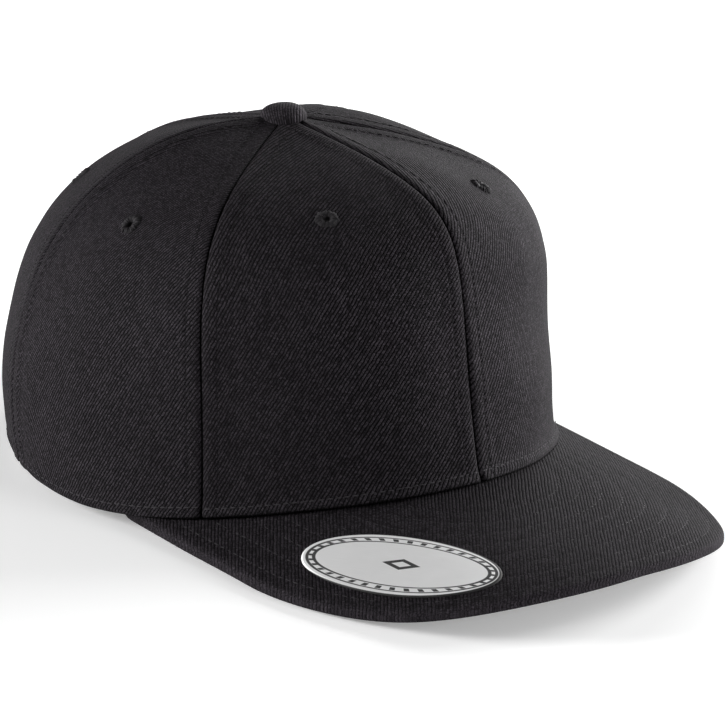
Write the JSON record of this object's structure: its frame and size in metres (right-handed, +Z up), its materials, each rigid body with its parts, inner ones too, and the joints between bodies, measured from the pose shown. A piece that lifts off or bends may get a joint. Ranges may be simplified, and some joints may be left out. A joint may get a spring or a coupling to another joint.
{
  "type": "flat bill cap",
  "caption": "Cap with a tall stiff front, a wide flat bill, a covered button, sewn eyelets and a snap strap across a half-round opening at the back, to be worn on the head.",
  "frame": {"origin": "on the surface that the cap rests on, under the middle of its bounding box", "axes": "+Z up, -Y towards the front edge of the bill, +X towards the wearer's left"},
  "size_m": [0.1882, 0.2732, 0.1213],
  "materials": {
    "cloth": "charcoal black wool-like twill, matt, with a slanted rib",
    "bill_cloth": "charcoal black twill with its rib running from the crown to the edge, matt",
    "button_cloth": "charcoal black twill stretched over a dome, matt",
    "thread": "black embroidery thread with a soft sheen",
    "strap_plastic": "black moulded plastic, satin",
    "foil": "brushed silver foil, satin"
  },
  "bodies": {
    "root": {"panel_front_left": "cloth", "panel_front_right": "cloth", "panel_side_left": "cloth", "panel_side_right": "cloth", "panel_rear_left": "cloth", "panel_rear_right": "cloth", "bill": "bill_cloth", "button": "button_cloth", "eyelet_front_left": "thread", "eyelet_front_right": "thread", "eyelet_side_left": "thread", "eyelet_side_right": "thread", "eyelet_rear_left": "thread", "eyelet_rear_right": "thread", "snap_strap": "strap_plastic", "bill_sticker": "foil"}
  },
  "joints": []
}
